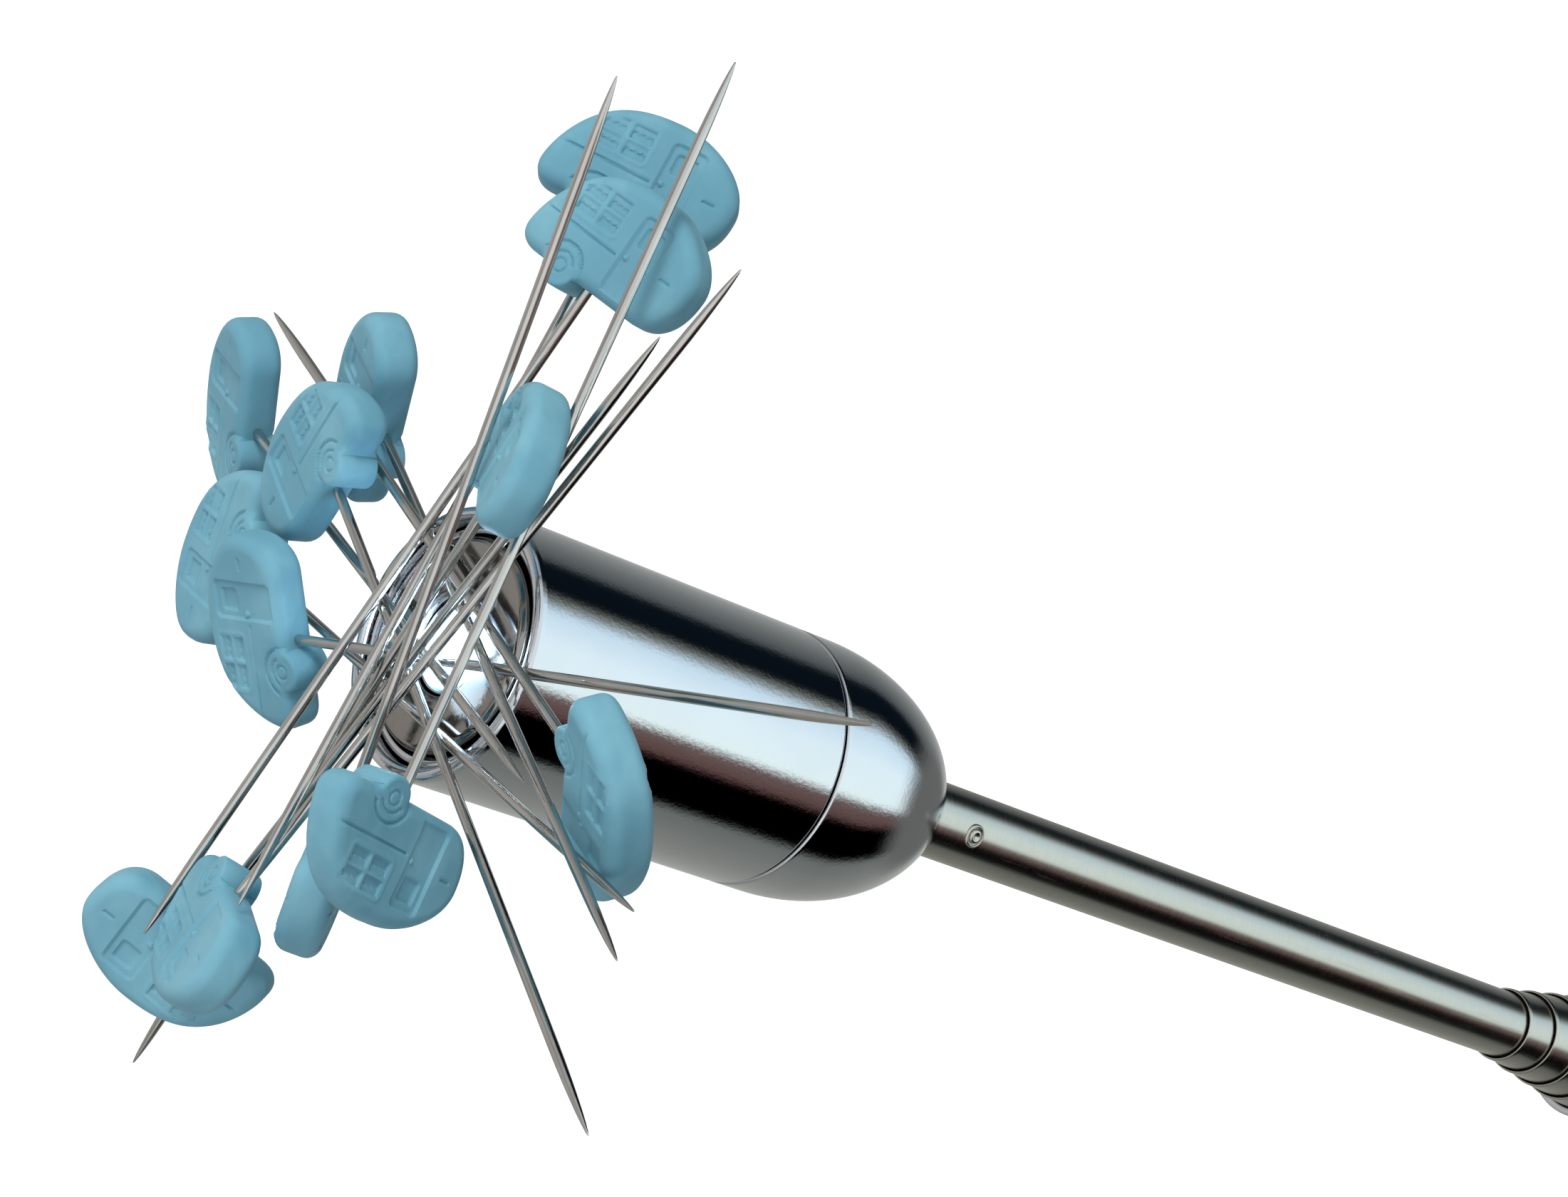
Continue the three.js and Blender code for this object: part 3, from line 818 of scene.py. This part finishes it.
def camper_relief(x, y):
    """Height of the moulded detail above or below a camper's side."""
    door = step_in(rounded_box(x, y, (-2.45, 3.15), (1.15, 2.55), 0.35), 0.16)
    door_glass = step_in(rounded_box(x, y, (-2.45, 4.5), (0.66, 0.68), 0.16))
    knob = step_in(np.hypot(x + 1.62, y - 2.95) - 0.17)
    height = -0.16 * door - 0.17 * door_glass + 0.16 * knob
    frame_line = np.abs(rounded_box(x, y, (1.55, 4.62), (1.85, 1.25), 0.3)) - 0.07
    height = height + 0.07 * step_in(frame_line)
    for column in (0.66, 2.44):
        for row in (4.05, 5.2):
            pane = step_in(rounded_box(x, y, (column, row), (0.72, 0.45), 0.1))
            hem = row + 0.08 - 0.1 * np.abs(np.sin((x - column) * math.pi / 0.48))
            curtain = pane * step_in(hem - y, 0.09)
            height = height - 0.22 * pane + 0.11 * curtain
    sill = step_in(rounded_box(x, y, (1.55, 3.42), (1.75, 0.1), 0.1), 0.08)
    belt = step_in(np.abs(y - 2.72 - 0.012 * x) - 0.075) * step_in(-0.95 - x)
    tail = step_in(rounded_box(x, y, (-4.75, 3.1), (0.42, 0.09), 0.09), 0.08)
    height = height + 0.1 * sill - 0.15 * belt - 0.14 * tail
    hub = from_hub(x, y)
    arch = step_in(np.abs(hub - WHEEL_RADIUS - 0.16) - 0.1) * step_in(0.25 - y, 0.3)
    groove = step_in(np.abs(hub - 0.86) - 0.07)
    rim = step_in(np.abs(hub - 0.42) - 0.07)
    return height - 0.16 * arch - 0.12 * groove - 0.1 * rim


def camper_side():
    """Flat points, heights and triangles of one side of a camper, and the outline's count."""
    outline = camper_outline()
    ahead = np.roll(outline, -1, axis=0) - np.roll(outline, 1, axis=0)
    inward = np.stack([-ahead[:, 1], ahead[:, 0]], 1) / np.hypot(*ahead.T)[:, None]
    flat = [outline]
    for inset in (0.025, 0.09, 0.2, 0.35, 0.53, 0.72):
        ring = outline + inward * inset
        flat.append(ring[from_edge(ring, outline) > inset - 0.02])
    pitch = 0.1
    grid = np.stack(np.meshgrid(np.arange(-6.5, 5.7, pitch), np.arange(-1, 7.1, pitch)), -1)
    grid = grid.reshape(-1, 2)
    flat.append(grid[from_edge(grid, outline) > 0.8])
    flat = np.concatenate(flat)
    count = len(outline)
    rim = [(index, (index + 1) % count) for index in range(count)]
    made = geometry.delaunay_2d_cdt([Vector(p) for p in flat], rim, [], 1, 1e-5)
    flat = np.array([tuple(p) for p in made[0]])
    triangles = [tuple(face) for face in made[2]]
    inset = np.clip(from_edge(flat, outline), 0, EDGE)
    rounded = HALF_THICK - EDGE + np.sqrt(EDGE ** 2 - (EDGE - inset) ** 2)
    into_wheel = np.clip(WHEEL_RADIUS - from_hub(flat[:, 0], flat[:, 1]), 0, WHEEL_EDGE)
    disc = HALF_THICK - WHEEL_EDGE + np.sqrt(WHEEL_EDGE ** 2 - (WHEEL_EDGE - into_wheel) ** 2)
    rounded = np.where(into_wheel > 0.004, np.maximum(rounded, disc), rounded)
    fade = np.maximum(np.clip((inset - 0.2) / 0.5, 0, 1), into_wheel > 0.2)
    heights = rounded + camper_relief(flat[:, 0], flat[:, 1]) * fade
    rim_index = [None] * count
    for new, olds in enumerate(made[3]):
        for old in olds:
            if old < count:
                rim_index[old] = new
    return flat, np.minimum(heights, HALF_THICK + 0.04), triangles, rim_index


def camper_shape():
    """Points and faces of a whole camper, its two sides mirrored and joined round the edge."""
    flat, heights, triangles, rim = camper_side()
    count = len(flat)
    near = np.column_stack([flat, heights])
    far = np.column_stack([flat, -heights])
    points = np.concatenate([near, far])
    faces = list(triangles)
    faces += [(c + count, b + count, a + count) for a, b, c in triangles]
    for index, first in enumerate(rim):
        second = rim[(index + 1) % len(rim)]
        faces.append((first, first + count, second + count, second))
    return points, faces


def pin_axes(letter):
    """A pin's root point and its nose, shank and side directions, read off its CAD solids."""
    joint = next(j for j in frame["joints"] if j["name"] == f"pin_{letter}_pull")
    along = Vector(joint["axis"]).normalized()
    head = NODES[f"camper_{letter}"].data
    spread = np.zeros((3, 3))
    for face in head.polygons:
        spread += np.outer(face.normal, face.normal) * face.area
    side = Vector(np.linalg.eigh(spread)[1][:, -1])
    side = (side - along * side.dot(along)).normalized()
    nose = along.cross(side)
    shank = np.array([v.co for v in NODES[f"pin_shank_{letter}"].data.vertices])

    def middle(direction):
        reach = shank @ np.array(direction)
        return (reach.min() + reach.max()) / 2

    tip = (shank @ np.array(along)).min()
    root = nose * middle(nose) + side * middle(side) + along * (tip + PIN_LENGTH * MM)
    outline = (np.array([v.co for v in head.vertices]) - np.array(root)) @ np.array(nose)
    if outline.max() > -outline.min():
        nose = -nose
    return root, nose, along, nose.cross(along)


def pin(letter, camper_points, camper_faces):
    """One flat-head pin: a drawn wire ground to a long point, moulded into its camper."""
    root, nose, along, side = pin_axes(letter)
    body = f"pin_{letter}"
    wire = [
        (0, -PIN_LENGTH), (0.04, -PIN_LENGTH + 0.04), (0.085, -PIN_LENGTH + 0.25),
        (0.145, -PIN_LENGTH + 0.8), (0.205, -PIN_LENGTH + 1.6), (0.255, -PIN_LENGTH + 2.6),
        (0.295, -PIN_LENGTH + 3.7), (0.318, -PIN_LENGTH + 4.8), (PIN_RADIUS, -PIN_LENGTH + 6),
        (PIN_RADIUS, -24), (PIN_RADIUS, PIN_ROOT), (0, PIN_ROOT),
    ]
    points, faces = turned(wire, 20, closed=False)
    row = put_in_row(points, root, side, nose, along)
    shank = piece(f"wire_{letter}", row, faces, "pin_steel", body, f"pin_shank_{letter}")
    grain = shank.data.attributes.new("grain", "FLOAT_VECTOR", "POINT")
    shifted = np.array(points, np.float32) + GRAIN_SHIFT * LETTERS.index(letter)
    grain.data.foreach_set("vector", shifted.ravel())
    row = put_in_row(camper_points, root, nose, along, side)
    piece(f"trailer_{letter}", row, camper_faces, "camper_plastic", body, f"camper_{letter}")


camper_points, camper_faces = camper_shape()
for letter in LETTERS:
    pin(letter, camper_points, camper_faces)

# ---------------------------------------------------------------------------
# Finishes of the CAD pieces that stay as they are
# ---------------------------------------------------------------------------

CARRIED_OVER = {
    "sprung_brass": [f"friction_sleeve_{stage}" for stage in (1, 2, 3, 4)] + ["board_contact"],
    "plated_steel": ["head_stud", "cell_spring", "lamp_lead_plus", "lamp_lead_minus"],
    "cell_can": [f"button_cell_{cell}" for cell in (1, 2, 3, 4)],
    "seal_rubber": ["cap_seal"],
    "insulating_card": ["cell_sleeve"],
    "lamp_board": ["lamp_board"],
}

for slot, names in CARRIED_OVER.items():
    for name in names:
        mesh = NODES[name].data
        mesh.materials.clear()
        mesh.materials.append(FINISHES[slot])

# ---------------------------------------------------------------------------
# Studio: camera, surroundings, lights and floor
# ---------------------------------------------------------------------------


CAMERA_RIGHT = Vector((0.37334, -0.62044, -0.68969))
CAMERA_UP = Vector((0.92770, 0.24969, 0.27756))
CAMERA_BACK = Vector((0, -0.74345, 0.66879))
CAMERA_PLACE = Vector((9.9, -183.0, FACE + 140.7)) * MM
LAMP_RISE = 0.9
FLOOR_HALF = 4.0
LIGHT_AIM = (0, 0, 0.2)
LIGHTS = {
    "key_light": {"place": (0.62, -0.3, 0.85), "size": 0.4, "power": 4.7,
                  "colour": (1.0, 0.99, 0.97)},
    "fill_light": {"place": (-0.6, -0.5, 0.55), "size": 0.7, "power": 0.8,
                   "colour": (0.94, 0.97, 1.0)},
}


def studio_camera():
    """A long lens looking down on the head, rolled so that the tool runs to the lower right."""
    lens_data = bpy.data.cameras.new("studio_camera")
    lens_data.sensor_width = 36
    lens_data.lens = 89.5
    lens_data.clip_start = 0.005
    lens_data.clip_end = 50
    camera = bpy.data.objects.new("studio_camera", lens_data)
    facing = Matrix((CAMERA_RIGHT, CAMERA_UP, CAMERA_BACK)).transposed().to_4x4()
    camera.matrix_world = Matrix.Translation(CAMERA_PLACE) @ facing
    bpy.context.scene.collection.objects.link(camera)
    bpy.context.scene.camera = camera


def surroundings():
    """A white tent with dark flags standing round the tool, which only polished metal mirrors."""
    world = bpy.data.worlds.new("white_tent")
    world.use_nodes = True
    bpy.context.scene.world = world
    f = Finish(world.node_tree)
    aim = f.node("ShaderNodeTexCoord", {}, {}, "Generated")
    east = f.node("ShaderNodeSeparateXYZ", {}, {0: aim}, 0)
    north = f.node("ShaderNodeSeparateXYZ", {}, {0: aim}, 1)
    height = f.node("ShaderNodeSeparateXYZ", {}, {0: aim}, 2)
    turn = f.maths("ARCTAN2", east, north * -1) * (0.5 / math.pi) + 0.5
    flags = f.node("ShaderNodeValToRGB", {"stops": [
        (0.0, (0.52, 0.54, 0.52)), (0.03, (0.5, 0.52, 0.5)), (0.056, (0.42, 0.43, 0.4)),
        (0.18, (0.29, 0.3, 0.28)), (0.305, (0.18, 0.2, 0.19)), (0.325, (0.0, 0.0, 0.0)),
        (0.424, (0.0, 0.0, 0.0)), (0.438, (0.13, 0.075, 0.07)), (0.478, (0.19, 0.13, 0.125)),
        (0.496, (1.05, 1.22, 1.22)), (0.585, (1.0, 1.2, 1.28)), (0.655, (0.78, 1.0, 1.15)),
        (0.685, (0.22, 0.24, 0.22)), (0.708, (0.003, 0.006, 0.01)), (0.78, (0.004, 0.008, 0.013)),
        (0.802, (0.1, 0.115, 0.12)), (0.86, (0.2, 0.215, 0.215)), (0.93, (0.32, 0.34, 0.33)),
        (0.965, (0.42, 0.44, 0.43)), (1.0, (0.52, 0.54, 0.52)),
    ]}, {"Fac": turn})
    roof = f.node("ShaderNodeValToRGB", {"stops": [
        (0.0, (0.55, 0.55, 0.55)), (0.2, (0.3, 0.31, 0.3)), (0.42, (1.0, 1.03, 1.05)),
        (0.62, (0.9, 0.95, 1.0)), (0.8, (0.35, 0.33, 0.32)), (1.0, (0.55, 0.55, 0.55)),
    ]}, {"Fac": turn})
    table = f.tint(f.between(height, -0.965, -0.875), (0.16, 0.165, 0.16), flags)
    mirrored = f.tint(f.between(height, -0.05, 0.25), table, roof)
    plain = f.tint(f.between(height, -0.6, 0.8), (0.26, 0.27, 0.28), (0.62, 0.63, 0.64))
    glossy = f.node("ShaderNodeLightPath", {}, {}, "Is Glossy Ray")
    seen = f.node("ShaderNodeLightPath", {}, {}, "Is Camera Ray")
    shade = f.tint(seen, f.tint(glossy, plain, mirrored), (1.0, 1.0, 1.0))
    light = f.node("ShaderNodeBackground", {}, {"Color": shade, "Strength": 1.0})
    f.node("ShaderNodeOutputWorld", {}, {"Surface": light})


def soft_light(name, place, size, power, colour):
    """A round soft box that polished metal doesn't mirror."""
    data = bpy.data.lights.new(name, "AREA")
    data.shape = "DISK"
    data.size = size
    data.energy = power
    data.color = colour
    light = bpy.data.objects.new(name, data)
    light.location = place
    aim = Vector(LIGHT_AIM) - Vector(place)
    light.rotation_euler = aim.to_track_quat("-Z", "Y").to_euler()
    light.visible_glossy = False
    bpy.context.scene.collection.objects.link(light)


def lamp_glow():
    """The lamp's own light, just above its lens."""
    data = bpy.data.lights.new("lamp_glow", "POINT")
    data.energy = 0.003
    data.shadow_soft_size = 0.0016
    data.color = (0.55, 0.78, 1.0)
    light = bpy.data.objects.new("lamp_glow", data)
    light.location = (0, 0, (FACE + LAMP_RISE) * MM)
    bpy.context.scene.collection.objects.link(light)


def pale_ground():
    """The floor, which only the camera sees."""
    half = FLOOR_HALF
    mesh = bpy.data.meshes.new("pale_ground")
    corners = [(-half, -half, 0), (half, -half, 0), (half, half, 0), (-half, half, 0)]
    mesh.from_pydata(corners, [], [(0, 1, 2, 3)])
    mesh.materials.append(pale_floor())
    ground = bpy.data.objects.new("pale_ground", mesh)
    ground.visible_glossy = False
    ground.visible_diffuse = False
    bpy.context.scene.collection.objects.link(ground)


studio_camera()
surroundings()
for name, light in LIGHTS.items():
    soft_light(name, **light)
lamp_glow()
pale_ground()
bpy.context.scene.view_settings.view_transform = "Standard"
